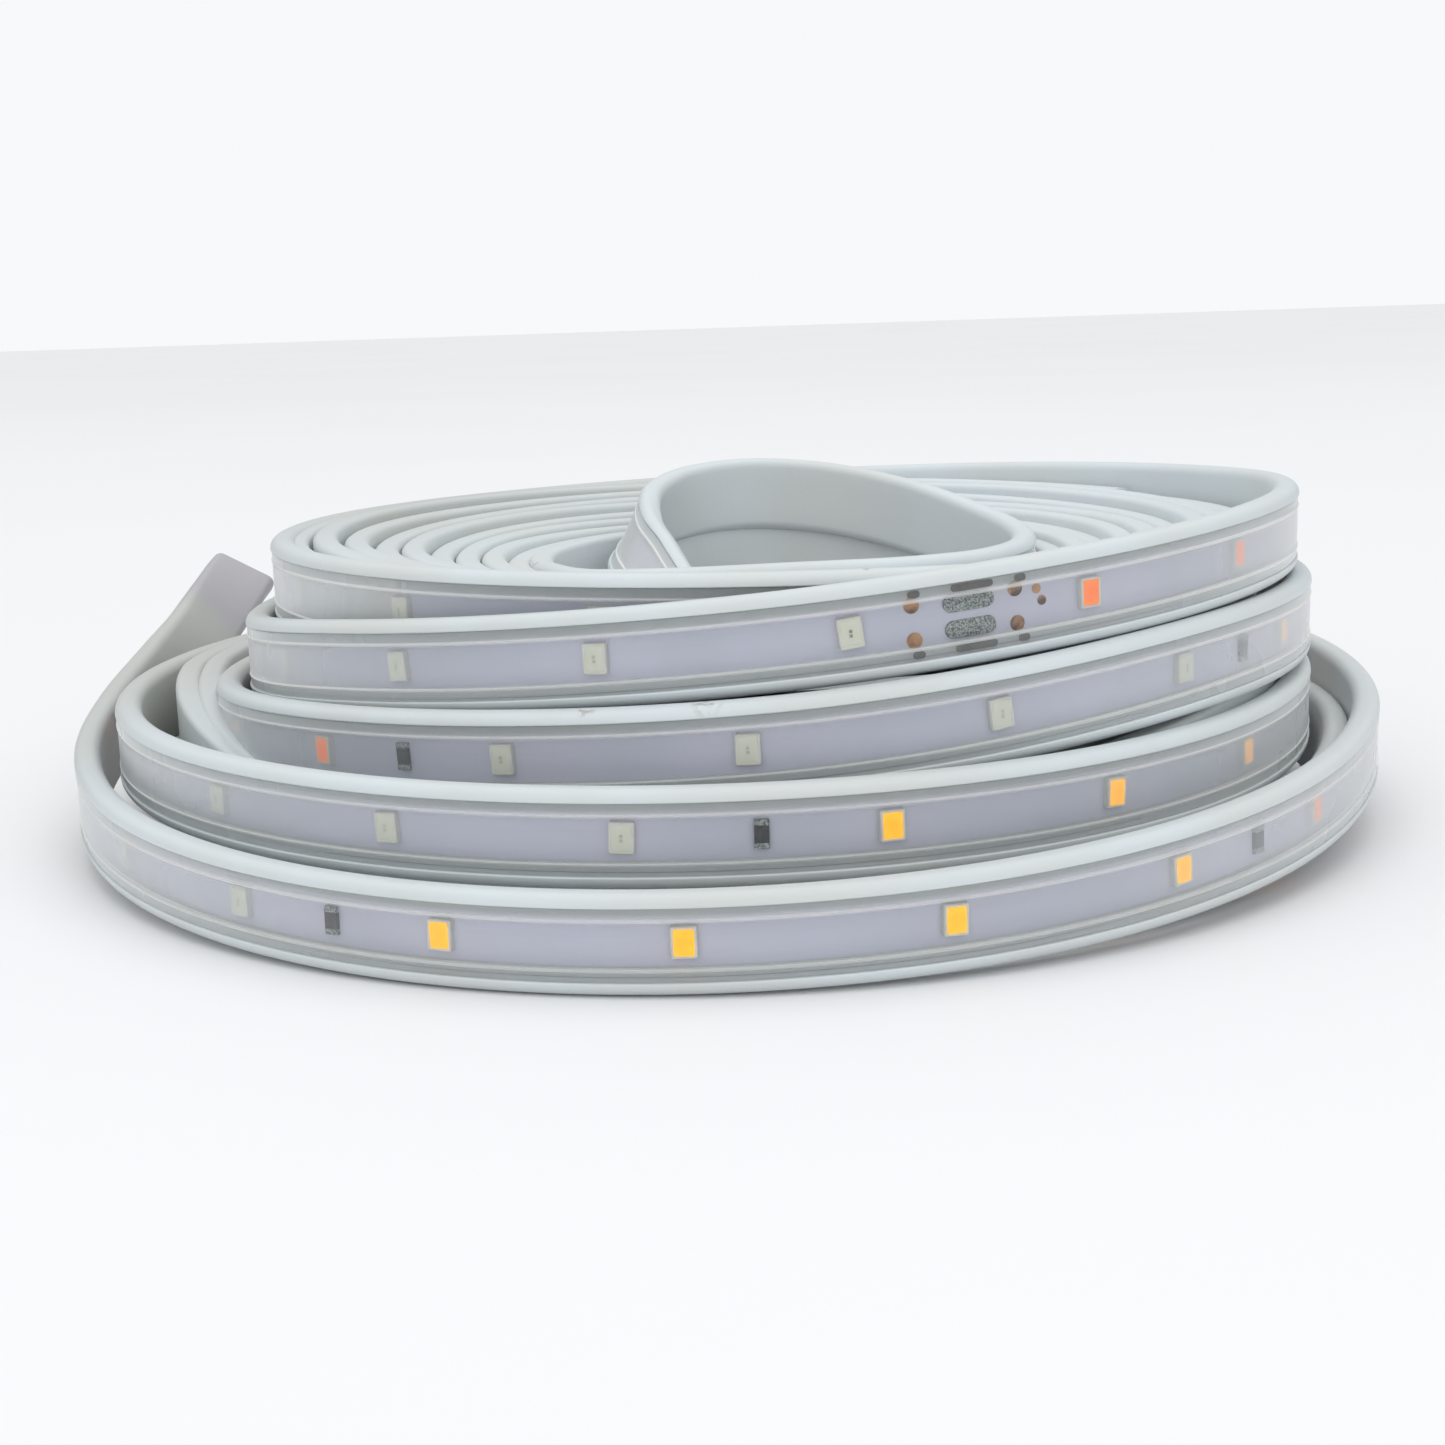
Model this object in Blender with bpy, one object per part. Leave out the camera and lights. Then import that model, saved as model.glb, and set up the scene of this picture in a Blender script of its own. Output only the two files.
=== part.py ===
"""LED rope light, coiled: a flat light strip in a soft sleeve, wound into a loose stepped coil.

Metres, +Z up, origin at the middle of the coil's footprint on the floor.
The strip runs upwards from its outer end, the tail, counterclockwise seen from above.
Angles are in degrees: 0 is the front (-Y), 90 the right (+X), and each whole turn adds 360.
"""
import math

import bmesh
import bpy
import numpy as np

MM = 0.001

# Sleeve section: the thickness runs from the back, 0, to the clear front, the width runs upwards
STRIP_WIDTH = 11.0 * MM
STRIP_THICKNESS = 3.5 * MM
BACK_WALL = 0.8 * MM
RIM_WALL = 1.3 * MM
CORNER = 0.8 * MM
CLEARANCE = 0.3 * MM

# Clear front plate and the circuit tape behind it
WINDOW_THICKNESS = 0.7 * MM
TAPE_THICKNESS = 0.4 * MM

# Lamps: 36 to a metre, in groups of four with a resistor midway between two groups
LAMP_PITCH = 1.0 / 36
LAMP_LENGTH = 2.8 * MM
LAMP_WIDTH = 3.5 * MM
LAMP_HEIGHT = 0.8 * MM
END_TO_FIRST_FACET = 7.9 * MM
LAMPS_IN_GROUP = 4
FIRST_GROUP_OFFSET = 1
RESISTOR_LENGTH = 1.6 * MM
RESISTOR_WIDTH = 3.2 * MM
RESISTOR_HEIGHT = 0.6 * MM

# Nest of tight turns inside the loose ones: its outer circle, which the loose turns are set out from
NEST_RADIUS = 63.6 * MM
NEST_OFFSET = 6.4 * MM

# Route of the loose outer turns: angle, strip thicknesses from the nest's circle to the centre line,
# sideways offset of the turn's middle (mm), height of the centre line in strip widths,
# and outward lean of the strip's top (degrees). The turns stack on edge, a width above each other.
OUTER_ROUTE = [
    (-126, 10.40, 0.0, 2.500, 60), (-120, 8.97, 0.0, 2.182, 45), (-113, 7.97, 0.0, 1.800, 25),
    (-105, 7.54, 0.0, 1.455, 10), (-92, 7.26, 0.3, 1.073, 2), (-75, 7.03, 0.6, 0.809, 0),
    (-45, 6.91, 0.6, 0.582, 0), (-15, 6.86, 0.6, 0.506, 0), (15, 6.86, 0.6, 0.564, 0),
    (45, 6.89, 0.6, 0.755, 0), (75, 6.94, 0.6, 1.055, 0), (105, 6.91, 0.4, 1.255, 0),
    (150, 6.54, 0.0, 1.364, 0), (200, 5.97, -0.4, 1.382, 0), (245, 5.43, -0.8, 1.364, 0),
    (275, 5.09, -0.8, 1.355, 0), (315, 4.83, -0.8, 1.355, 0), (360, 4.77, -0.8, 1.355, 0),
    (405, 4.74, -0.8, 1.364, 0), (450, 4.66, 0.0, 1.409, 0), (475, 4.63, 0.8, 1.373, 0),
    (500, 4.57, 1.5, 1.355, 0), (545, 4.11, 3.0, 1.364, 0), (590, 3.66, 4.6, 1.391, 0),
    (630, 3.03, 5.4, 1.464, 0), (675, 2.91, 5.6, 1.782, 0), (720, 2.89, 5.7, 2.082, 0),
    (765, 2.83, 5.7, 2.455, 0), (800, 2.97, 5.8, 2.473, 0), (825, 2.97, 5.9, 2.409, 0),
    (840, 2.97, 6.0, 2.386, 0), (870, 2.91, 6.2, 2.373, 0), (900, 2.80, 6.4, 2.345, 0),
    (960, 2.34, 6.8, 2.264, 0), (995, 2.11, 7.0, 2.273, 0), (1035, 1.97, 7.1, 2.655, 0),
    (1080, 1.88, 7.2, 3.073, 0), (1110, 2.00, 7.2, 3.355, 0), (1138, 2.11, 7.0, 3.518, 0),
    (1165, 2.11, 6.8, 3.527, 0), (1185, 2.03, 6.8, 3.464, 0), (1200, 1.89, 6.8, 3.418, 0),
    (1215, 1.71, 6.7, 3.373, 0), (1245, 1.60, 6.6, 3.273, 0), (1290, 1.14, 6.4, 3.182, 0),
    (1340, 0.80, 6.4, 3.200, 0), (1385, 0.74, 6.4, 3.227, 0), (1440, 0.71, 6.4, 3.218, 0),
    (1485, 0.74, 6.4, 3.127, 0), (1530, 0.77, 6.4, 3.055, 0), (1560, 0.74, 6.4, 3.018, 0),
]

# Route of the free inner end, which springs up at the back and drops forwards into the bore:
# x, y, height of the centre line (mm) and inward lean of the strip's top (degrees)
INNER_ROUTE = [
    (-24.0, -7.0, 30.2, 0), (-17.8, -20.0, 30.6, 0), (-5.0, -28.5, 31.4, 0), (10.0, -31.5, 32.0, 0),
    (24.0, -28.0, 31.8, 0), (35.5, -19.5, 31.5, 0), (42.0, -8.0, 31.6, 0), (43.2, 5.0, 32.2, 0),
    (38.5, 18.0, 34.0, 0), (29.0, 28.5, 37.0, 0), (16.0, 33.8, 39.6, 0), (4.0, 34.0, 40.4, 0),
    (-5.0, 30.5, 39.6, 6), (-10.5, 23.5, 38.0, 20), (-12.0, 13.0, 35.6, 38), (-10.0, 2.0, 33.2, 48),
    (-8.0, -8.0, 31.0, 52), (-6.5, -15.0, 29.5, 54),
]
INNER_STEP = 7.0 * MM

# How finely the two routes are read before the stations are set out along them
FINE_DEGREES = 0.5
INNER_SAMPLES = 400

# Wound core: the nest and the hidden layers under it, with a bore. It stands on a foot of floor-level
# turns. Its levels are in strip widths, and its radii follow from the strip that lies around it
CORE_SEGMENTS = 44
CORE_CLEARANCE = 0.35 * MM
FOOT_OFFSET = 1.0 * MM
FOOT_LEVEL = 0.82
SHOULDER_OFFSET = 5.1 * MM
SHOULDER_LEVEL = 2.25
NEST_RIM_LEVEL = 3.47
NEST_BORE_LEVEL = 3.02
BORE_OFFSET = 10.0 * MM
NEST_TURNS = 8
FOOT_TURNS = 12
GROOVE_DEPTH = 1.1 * MM
GROOVE_SHARE = 0.3

# Colours and finishes
SLEEVE_COLOUR = (0.72, 0.76, 0.77, 1.0)
WINDOW_COLOUR = (0.75, 0.77, 0.82, 1.0)
TAPE_COLOUR = (0.42, 0.43, 0.50, 1.0)
CORE_COLOUR = (0.62, 0.66, 0.66, 1.0)
SLEEVE_ROUGHNESS = 0.45
WINDOW_ROUGHNESS = 0.15
TAPE_ROUGHNESS = 0.5


def clear_scene():
    for old in list(bpy.data.objects):
        bpy.data.objects.remove(old, do_unlink=True)


def make_material(name, colour, roughness):
    material = bpy.data.materials.new(name)
    material.use_nodes = True
    shader = material.node_tree.nodes["Principled BSDF"]
    shader.inputs["Base Color"].default_value = colour
    shader.inputs["Roughness"].default_value = roughness
    shader.inputs["Metallic"].default_value = 0.0
    material.diffuse_color = colour
    return material


def add_object(name, bm, material, smooth_angle=None):
    """Turn a finished bmesh into a named object with its material."""
    bmesh.ops.recalc_face_normals(bm, faces=bm.faces)
    mesh = bpy.data.meshes.new(name)
    bm.to_mesh(mesh)
    bm.free()
    if smooth_angle is not None:
        mesh.shade_smooth()
        mesh.set_sharp_from_angle(angle=math.radians(smooth_angle))
    mesh.materials.append(material)
    item = bpy.data.objects.new(name, mesh)
    bpy.context.scene.collection.objects.link(item)
    return item


def smooth_through(keys, values, at):
    """Values at the places asked for, on a smooth curve through the given ones (cubic Hermite)."""
    keys = np.asarray(keys, float)
    values = np.asarray(values, float)
    slopes = np.gradient(values, keys)
    left = np.clip(np.searchsorted(keys, at, side="right") - 1, 0, len(keys) - 2)
    span = keys[left + 1] - keys[left]
    t = (at - keys[left]) / span
    start, end = values[left], values[left + 1]
    start_slope, end_slope = slopes[left] * span, slopes[left + 1] * span
    return ((2 * t**3 - 3 * t**2 + 1) * start + (t**3 - 2 * t**2 + t) * start_slope
            + (3 * t**2 - 2 * t**3) * end + (t**3 - t**2) * end_slope)


def even_steps(points, leans, first, step):
    """Frames at the cut end, then every step: centre points, outward normals and up vectors."""
    lengths = np.concatenate([[0.0], np.cumsum(np.linalg.norm(np.diff(points, axis=0), axis=1))])
    places = np.concatenate([[0.0], np.arange(first, lengths[-1], step)])
    centres = np.column_stack([np.interp(places, lengths, points[:, axis]) for axis in range(3)])
    lean = np.radians(np.interp(places, lengths, leans))
    ahead = np.gradient(centres, places, axis=0)
    ahead /= np.linalg.norm(ahead, axis=1)[:, None]
    flat_out = np.column_stack([ahead[:, 1], -ahead[:, 0], np.zeros(len(places))])
    flat_out /= np.linalg.norm(flat_out, axis=1)[:, None]
    straight_up = np.cross(flat_out, ahead)
    up = straight_up * np.cos(lean)[:, None] + flat_out * np.sin(lean)[:, None]
    outward = flat_out * np.cos(lean)[:, None] - straight_up * np.sin(lean)[:, None]
    return centres, outward, up


def outer_frames():
    """The loose outer turns, stepped at half the lamp pitch so that each lamp has its own facet."""
    angles, layers, offsets, widths, leans = np.array(OUTER_ROUTE, float).T
    fine = np.arange(angles[0], angles[-1], FINE_DEGREES)
    radius = NEST_RADIUS + smooth_through(angles, layers, fine) * STRIP_THICKNESS
    offset = smooth_through(angles, offsets, fine) * MM
    height = smooth_through(angles, widths, fine) * STRIP_WIDTH
    turn = np.radians(fine)
    points = np.column_stack([offset + radius * np.sin(turn), -radius * np.cos(turn), height])
    return even_steps(points, np.interp(fine, angles, leans), END_TO_FIRST_FACET, LAMP_PITCH / 2)


def inner_frames():
    """The free inner end, on a smooth curve through its own points."""
    route = np.array(INNER_ROUTE, float)
    spans = np.linalg.norm(np.diff(route[:, :2], axis=0), axis=1)
    keys = np.concatenate([[0.0], np.cumsum(spans)])
    fine = np.linspace(0.0, keys[-1], INNER_SAMPLES)
    columns = [smooth_through(keys, route[:, axis], fine) * MM for axis in range(3)]
    return even_steps(np.column_stack(columns), -np.interp(fine, keys, route[:, 3]), INNER_STEP, INNER_STEP)


def channel_section():
    """The C of the sleeve: back wall and two rims with bevelled corners, open at the front."""
    half = STRIP_WIDTH / 2
    back, front = -STRIP_THICKNESS / 2, STRIP_THICKNESS / 2
    upper = [
        (front, half - RIM_WALL), (front, half - CORNER), (front - CORNER, half),
        (back + CORNER, half), (back, half - CORNER),
    ]
    lower = [(u, -v) for u, v in reversed(upper)]
    inside = back + BACK_WALL
    return upper + lower + [(inside, RIM_WALL - half), (inside, half - RIM_WALL)]


def plate_section(near, thickness):
    """A flat plate between the rims, its back face at the given depth from the sleeve's back."""
    half = STRIP_WIDTH / 2 - RIM_WALL - CLEARANCE
    low = near - STRIP_THICKNESS / 2
    return [(low, -half), (low + thickness, -half), (low + thickness, half), (low, half)]


def window_section():
    return plate_section(STRIP_THICKNESS - WINDOW_THICKNESS, WINDOW_THICKNESS)


def tape_section():
    return plate_section(BACK_WALL + CLEARANCE, TAPE_THICKNESS)


def section_rings(section, frames):
    """The section's corners at each station, as an array of stations, corners and coordinates."""
    centres, outward, up = frames
    depth, width = np.array(section).T
    return (centres[:, None] + depth[None, :, None] * outward[:, None]
            + width[None, :, None] * up[:, None])


def sweep(section, frames):
    """Carry a closed section along the frames and cap both ends."""
    bm = bmesh.new()
    rings = [[bm.verts.new(corner) for corner in ring] for ring in section_rings(section, frames)]
    count = len(section)
    sides = []
    for near, far in zip(rings, rings[1:]):
        sides.append([
            bm.faces.new((near[k], near[(k + 1) % count], far[(k + 1) % count], far[k]))
            for k in range(count)
        ])
    bm.faces.new(rings[0])
    bm.faces.new(rings[-1])
    return bm, sides


def raise_block(bm, face, along, across, normal, length, width, height):
    """Raise a small block in the middle of a facet, joined to it all round."""
    corners = [loop.vert for loop in face.loops]
    middle = face.calc_center_median()
    feet = []
    for corner in corners:
        side = corner.co - middle
        reach = math.copysign(length / 2, side.dot(along))
        spread = math.copysign(width / 2, side.dot(across))
        feet.append(bm.verts.new(middle + along * reach + across * spread))
    bm.faces.remove(face)
    for k in range(4):
        bm.faces.new((corners[k], corners[k - 3], feet[k - 3], feet[k]))
    foot = bm.faces.new(feet)
    raised = bmesh.ops.extrude_face_region(bm, geom=[foot])
    tops = [item for item in raised["geom"] if isinstance(item, bmesh.types.BMVert)]
    bmesh.ops.translate(bm, verts=tops, vec=normal * height)
    bmesh.ops.delete(bm, geom=[foot], context="FACES_ONLY")


def block_size(facet):
    """What stands on a facet: a lamp on each odd one, a resistor between groups, or nothing."""
    if facet == 0:
        return None
    if facet % 2 == 1:
        return LAMP_LENGTH, LAMP_WIDTH, LAMP_HEIGHT
    lamp = facet // 2 - 1
    if lamp % LAMPS_IN_GROUP == FIRST_GROUP_OFFSET:
        return RESISTOR_LENGTH, RESISTOR_WIDTH, RESISTOR_HEIGHT
    return None


def make_strip(suffix, frames, materials, with_lamps):
    """Sleeve, clear front and circuit tape along one stretch of the strip."""
    sleeve, window, tape = materials
    bm, _ = sweep(channel_section(), frames)
    pieces = [add_object("white_channel" + suffix, bm, sleeve)]
    bm, _ = sweep(window_section(), frames)
    pieces.append(add_object("clear_window" + suffix, bm, window))
    bm, sides = sweep(tape_section(), frames)
    if with_lamps:
        outward = frames[1]
        for facet, faces in enumerate(sides):
            size = block_size(facet)
            if size is None:
                continue
            front = faces[1]
            axes = face_axes(front, outward[facet] + outward[facet + 1])
            raise_block(bm, front, *axes, *size)
    pieces.append(add_object("circuit_tape" + suffix, bm, tape))
    return pieces


def face_axes(face, outward):
    """Unit vectors along the strip, across it and out of the facet."""
    loops = [loop.vert.co for loop in face.loops]
    across = ((loops[1] - loops[0]) + (loops[2] - loops[3])).normalized()
    along = ((loops[3] - loops[0]) + (loops[2] - loops[1])).normalized()
    normal = along.cross(across).normalized()
    if normal.dot(outward) < 0:
        normal.negate()
    return along, across, normal


def grooved_rows(inner, outer, turns, levels, depth_sign):
    """Rows from the inner to the outer edge, with a V groove between neighbouring turns."""
    rows = []
    pitch = 1.0 / turns
    half_groove = GROOVE_SHARE * pitch / 2
    rows.append((0.0, 0.0))
    for k in range(1, turns):
        share = k * pitch
        rows.append((share - half_groove, 0.0))
        rows.append((share, depth_sign * GROOVE_DEPTH))
        rows.append((share + half_groove, 0.0))
    rows.append((1.0, 0.0))
    low, high = levels
    return [
        (blend_circle(inner, outer, share), low + (high - low) * share + depth) for share, depth in rows
    ]


def blend_circle(inner, outer, share):
    """A circle, as radius and offset, part of the way from one circle to another."""
    return tuple(a + (b - a) * share for a, b in zip(inner, outer))


def room_inside(rings, offset, level):
    """The largest circle about a middle at the offset that clears the strip below a level."""
    halfway = (rings[1:] + rings[:-1]) / 2
    corners = np.concatenate([rings, halfway]).reshape(-1, 3)
    below = corners[corners[:, 2] < level + CORE_CLEARANCE]
    return np.hypot(below[:, 0] - offset, below[:, 1]).min() - CORE_CLEARANCE


def core_circles(outer, inner):
    """Radius and offset of the core's four circles: bore, nest, shoulder and foot."""
    rings = section_rings(channel_section(), outer)
    loop = section_rings(channel_section(), inner).reshape(-1, 3)
    reach = np.hypot(loop[:, 0] - BORE_OFFSET, loop[:, 1]).max() + CORE_CLEARANCE
    bore = (reach / math.cos(math.pi / CORE_SEGMENTS), BORE_OFFSET)
    shoulder = room_inside(rings, SHOULDER_OFFSET, SHOULDER_LEVEL * STRIP_WIDTH)
    foot = room_inside(rings, FOOT_OFFSET, FOOT_LEVEL * STRIP_WIDTH)
    return bore, (NEST_RADIUS, NEST_OFFSET), (shoulder, SHOULDER_OFFSET), (foot, FOOT_OFFSET)


def make_core(circles, material):
    """The wound core as one closed solid: rows of circles joined in rings."""
    bore, nest, shoulder, foot = circles
    nest_levels = (NEST_BORE_LEVEL * STRIP_WIDTH, NEST_RIM_LEVEL * STRIP_WIDTH)
    shoulder_height = SHOULDER_LEVEL * STRIP_WIDTH
    foot_height = FOOT_LEVEL * STRIP_WIDTH
    rows = grooved_rows(bore, nest, NEST_TURNS, nest_levels, -1)
    rows += [(nest, shoulder_height), (shoulder, shoulder_height)]
    rows += [(shoulder, foot_height), (foot, foot_height)]
    rows += reversed(grooved_rows(bore, foot, FOOT_TURNS, (0.0, 0.0), 1))
    bm = bmesh.new()
    rings = []
    for (radius, offset), level in rows:
        ring = []
        for k in range(CORE_SEGMENTS):
            turn = 2 * math.pi * (k + 0.5) / CORE_SEGMENTS
            ring.append(bm.verts.new((offset + radius * math.sin(turn), -radius * math.cos(turn), level)))
        rings.append(ring)
    for inner, outer in zip(rings, rings[1:] + rings[:1]):
        for k in range(CORE_SEGMENTS):
            after = (k + 1) % CORE_SEGMENTS
            bm.faces.new((inner[k], inner[after], outer[after], outer[k]))
    return add_object("wound_core", bm, material)


def centre_on_origin(pieces):
    """Stand the whole coil with the middle of its box over the origin, its lowest point on the floor."""
    corners = np.array([vertex.co for item in pieces for vertex in item.data.vertices])
    low, high = corners.min(axis=0), corners.max(axis=0)
    middle = bpy.data.objects.new("coil_middle", None)
    bpy.context.scene.collection.objects.link(middle)
    middle.location = (-(low[0] + high[0]) / 2, -(low[1] + high[1]) / 2, -low[2])
    for item in pieces:
        item.parent = middle


def main():
    clear_scene()
    sleeve = make_material("white sleeve", SLEEVE_COLOUR, SLEEVE_ROUGHNESS)
    window = make_material("clear sleeve front", WINDOW_COLOUR, WINDOW_ROUGHNESS)
    tape = make_material("circuit tape", TAPE_COLOUR, TAPE_ROUGHNESS)
    core = make_material("wound turns", CORE_COLOUR, SLEEVE_ROUGHNESS)
    finishes = (sleeve, window, tape)
    outer, inner = outer_frames(), inner_frames()
    pieces = make_strip("", outer, finishes, True)
    pieces += make_strip("_inner", inner, finishes, False)
    pieces.append(make_core(core_circles(outer, inner), core))
    centre_on_origin(pieces)


main()
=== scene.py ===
# Coil of flat led rope light, the looks: soft white sleeve, clear front, circuit tape and lamps.
# Lengths in the dictionaries are millimetres and angles are degrees. An angle along the strip is 0 at
# the front, 90 at the right, and 360 more for each turn, climbing counterclockwise from above.
# Across a section, depth runs from the back (-) to the clear front (+), and across runs upwards.
import math

import bpy
import numpy as np
from mathutils import Matrix, Vector


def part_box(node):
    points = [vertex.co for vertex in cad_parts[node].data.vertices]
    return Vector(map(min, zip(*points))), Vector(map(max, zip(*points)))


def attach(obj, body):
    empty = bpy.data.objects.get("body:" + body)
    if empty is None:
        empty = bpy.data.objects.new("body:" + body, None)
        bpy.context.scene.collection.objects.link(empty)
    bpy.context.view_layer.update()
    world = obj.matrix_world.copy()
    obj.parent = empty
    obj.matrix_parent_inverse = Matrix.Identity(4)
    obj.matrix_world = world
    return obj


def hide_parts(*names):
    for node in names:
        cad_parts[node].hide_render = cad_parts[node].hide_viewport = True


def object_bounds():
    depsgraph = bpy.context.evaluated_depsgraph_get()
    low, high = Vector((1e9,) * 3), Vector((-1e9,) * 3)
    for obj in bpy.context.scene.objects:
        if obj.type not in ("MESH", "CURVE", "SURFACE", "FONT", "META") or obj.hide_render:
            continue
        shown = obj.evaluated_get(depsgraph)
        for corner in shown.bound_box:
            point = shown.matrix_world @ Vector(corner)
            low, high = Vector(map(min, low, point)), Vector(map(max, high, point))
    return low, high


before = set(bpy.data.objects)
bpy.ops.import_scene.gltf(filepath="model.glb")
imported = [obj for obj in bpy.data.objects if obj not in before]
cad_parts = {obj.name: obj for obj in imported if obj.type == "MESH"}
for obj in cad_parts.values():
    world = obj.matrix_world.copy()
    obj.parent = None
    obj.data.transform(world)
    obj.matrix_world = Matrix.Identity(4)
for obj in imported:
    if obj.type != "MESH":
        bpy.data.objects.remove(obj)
cadBox = [list(corner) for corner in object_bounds()]
metre = 1000.0

# What every piece shares: the strip's section, and how finely it is laid along its route
strip = {
    "width": 11.0, "thickness": 3.5, "backWall": 0.8, "rimWall": 1.5, "gap": 0.1,
    "frontCorner": 1.34, "backCorner": 1.4, "lip": 0.14, "cornerSteps": 6, "lipSteps": 3,
    "coverThickness": 0.55, "coverRecess": 0.16, "coverEdge": 0.06, "coverBevel": 0.1,
    "crownHeight": 0.02, "crownAt": 0.8, "crownEnd": 1.7,
    "ridgeAt": 2.65, "ridgeWidth": 0.42, "ridgeHeight": 0.13, "ridgeSteps": 7, "ridgePower": 1.5,
    "tapeThickness": 0.4, "tapeLift": 0.3, "lampPitch": metre / 36, "station": 2.2,
}
coreOffset = 1.0  # how far the core's middle lies to the right of the route's own axis


def smoothThrough(keys, values, at):
    # cubic between neighbouring rows, each row's slope being that of its two neighbours
    slopes = np.gradient(values, keys)
    left = np.clip(np.searchsorted(keys, at, side="right") - 1, 0, len(keys) - 2)
    span = keys[left + 1] - keys[left]
    t = (at - keys[left]) / span
    return ((2 * t**3 - 3 * t**2 + 1) * values[left] + (t**3 - 2 * t**2 + t) * slopes[left] * span
            + (3 * t**2 - 2 * t**3) * values[left + 1] + (t**3 - t**2) * slopes[left + 1] * span)


def pathFrom(points, leans, angles=None):
    # a centre line with its frames: ahead along it, outward across the thickness, up across the width;
    # the lean turns up and outward about ahead
    s = np.concatenate([[0.0], np.cumsum(np.linalg.norm(np.diff(points, axis=0), axis=1))])
    ahead = np.gradient(points, s, axis=0)
    ahead /= np.linalg.norm(ahead, axis=1)[:, None]
    flatOut = np.column_stack([ahead[:, 1], -ahead[:, 0], np.zeros(len(s))])
    flatOut /= np.linalg.norm(flatOut, axis=1)[:, None]
    straightUp = np.cross(flatOut, ahead)
    lean = np.radians(leans)[:, None]
    return {"s": s, "centre": points, "ahead": ahead, "angle": angles,
            "up": straightUp * np.cos(lean) + flatOut * np.sin(lean),
            "outward": flatOut * np.cos(lean) - straightUp * np.sin(lean)}


def roundPath(angles, radius, offset, height, leans):
    # point = (offset + radius sin angle, -radius cos angle, height)
    turn = np.radians(angles)
    points = np.column_stack([offset + radius * np.sin(turn), -radius * np.cos(turn), height])
    return pathFrom(points, leans, angles)


def rowsPath(rows, fineStep=0.5):
    # rows of angle, radius, offset, height and lean, read smoothly
    angles, radius, offset, height, lean = np.array(rows, float).T
    fine = np.arange(angles[0], angles[-1] + fineStep / 2, fineStep)
    return roundPath(fine, smoothThrough(angles, radius, fine), smoothThrough(angles, offset, fine),
                     smoothThrough(angles, height, fine), np.interp(fine, angles, lean))


def framesAt(path, s):
    # centre, ahead, outward and up at lengths s along a path
    return [np.column_stack([np.interp(s, path["s"], path[key][:, axis]) for axis in range(3)])
            for key in ("centre", "ahead", "outward", "up")]


def lengthAt(path, angle):
    return np.interp(angle, path["angle"], path["s"])


# Routes: the loose outer turns, the free inner end, the nest and the turns under them.
# Rows of angle, layers outside the nest radius, offset to the right, height in strip widths, lean
nestRadius = 63.6
outerRows = [
    (-126, 10.40, 0.0, 2.500, 60), (-120, 8.97, 0.0, 2.182, 45), (-113, 7.97, 0.0, 1.800, 25),
    (-105, 7.54, 0.0, 1.455, 10), (-92, 7.26, 0.3, 1.073, 2), (-75, 7.03, 0.6, 0.809, 0),
    (-45, 6.91, 0.6, 0.582, 0), (-15, 6.86, 0.6, 0.506, 0), (15, 6.86, 0.6, 0.564, 0),
    (45, 6.89, 0.6, 0.755, 0), (75, 6.94, 0.6, 1.055, 0), (105, 6.91, 0.4, 1.255, 0),
    (150, 6.54, 0.0, 1.364, 0), (200, 5.97, -0.4, 1.382, 0), (245, 5.43, -0.8, 1.364, 0),
    (275, 5.09, -0.8, 1.355, 0), (315, 4.83, -0.8, 1.355, 0), (360, 4.77, -0.8, 1.355, 0),
    (405, 4.74, -0.8, 1.364, 0), (450, 4.66, 0.0, 1.409, 0), (475, 4.63, 0.8, 1.373, 0),
    (500, 4.57, 1.5, 1.355, 0), (545, 4.11, 3.0, 1.364, 0), (590, 3.66, 4.6, 1.391, 0),
    (630, 3.03, 5.4, 1.464, 0), (675, 2.91, 5.6, 1.782, 0), (720, 2.89, 5.7, 2.082, 0),
    (765, 2.83, 5.7, 2.455, 0), (800, 2.97, 5.8, 2.473, 0), (825, 2.97, 5.9, 2.409, 0),
    (840, 2.97, 6.0, 2.386, 0), (870, 2.91, 6.2, 2.373, 0), (900, 2.80, 6.4, 2.345, 0),
    (960, 2.34, 6.8, 2.264, 0), (995, 2.11, 7.0, 2.273, 0), (1035, 1.97, 7.1, 2.655, 0),
    (1080, 1.88, 7.2, 3.073, 0), (1110, 2.00, 7.2, 3.355, 0), (1138, 2.11, 7.0, 3.518, 0),
    (1165, 2.11, 6.8, 3.527, 0), (1185, 2.03, 6.8, 3.464, 0), (1200, 1.89, 6.8, 3.418, 0),
    (1215, 1.71, 6.7, 3.373, 0), (1245, 1.60, 6.6, 3.273, 0), (1290, 1.14, 6.4, 3.182, 0),
    (1340, 0.80, 6.4, 3.200, 0), (1385, 0.74, 6.4, 3.227, 0), (1440, 0.71, 6.4, 3.218, 0),
    (1485, 0.74, 6.4, 3.127, 0), (1530, 0.77, 6.4, 3.055, 0), (1560, 0.74, 6.4, 3.018, 0),
]
# x, y, height, lean
innerRows = [
    (-24.0, -7.0, 30.2, 0), (-17.8, -20.0, 30.6, 0), (-5.0, -28.5, 31.4, 0), (10.0, -31.5, 32.0, 0),
    (24.0, -28.0, 31.8, 0), (35.5, -19.5, 31.5, 0), (42.0, -8.0, 31.6, 0), (43.2, 5.0, 32.2, 0),
    (38.5, 18.0, 34.0, 0), (29.0, 28.5, 37.0, 0), (16.0, 33.8, 39.6, 0), (4.0, 34.0, 40.4, 0),
    (-5.0, 30.5, 39.6, 6), (-10.5, 23.5, 38.0, 20), (-12.0, 13.0, 35.6, 38), (-10.0, 2.0, 33.2, 48),
    (-8.0, -8.0, 31.0, 52), (-6.5, -15.0, 29.5, 54),
]
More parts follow.
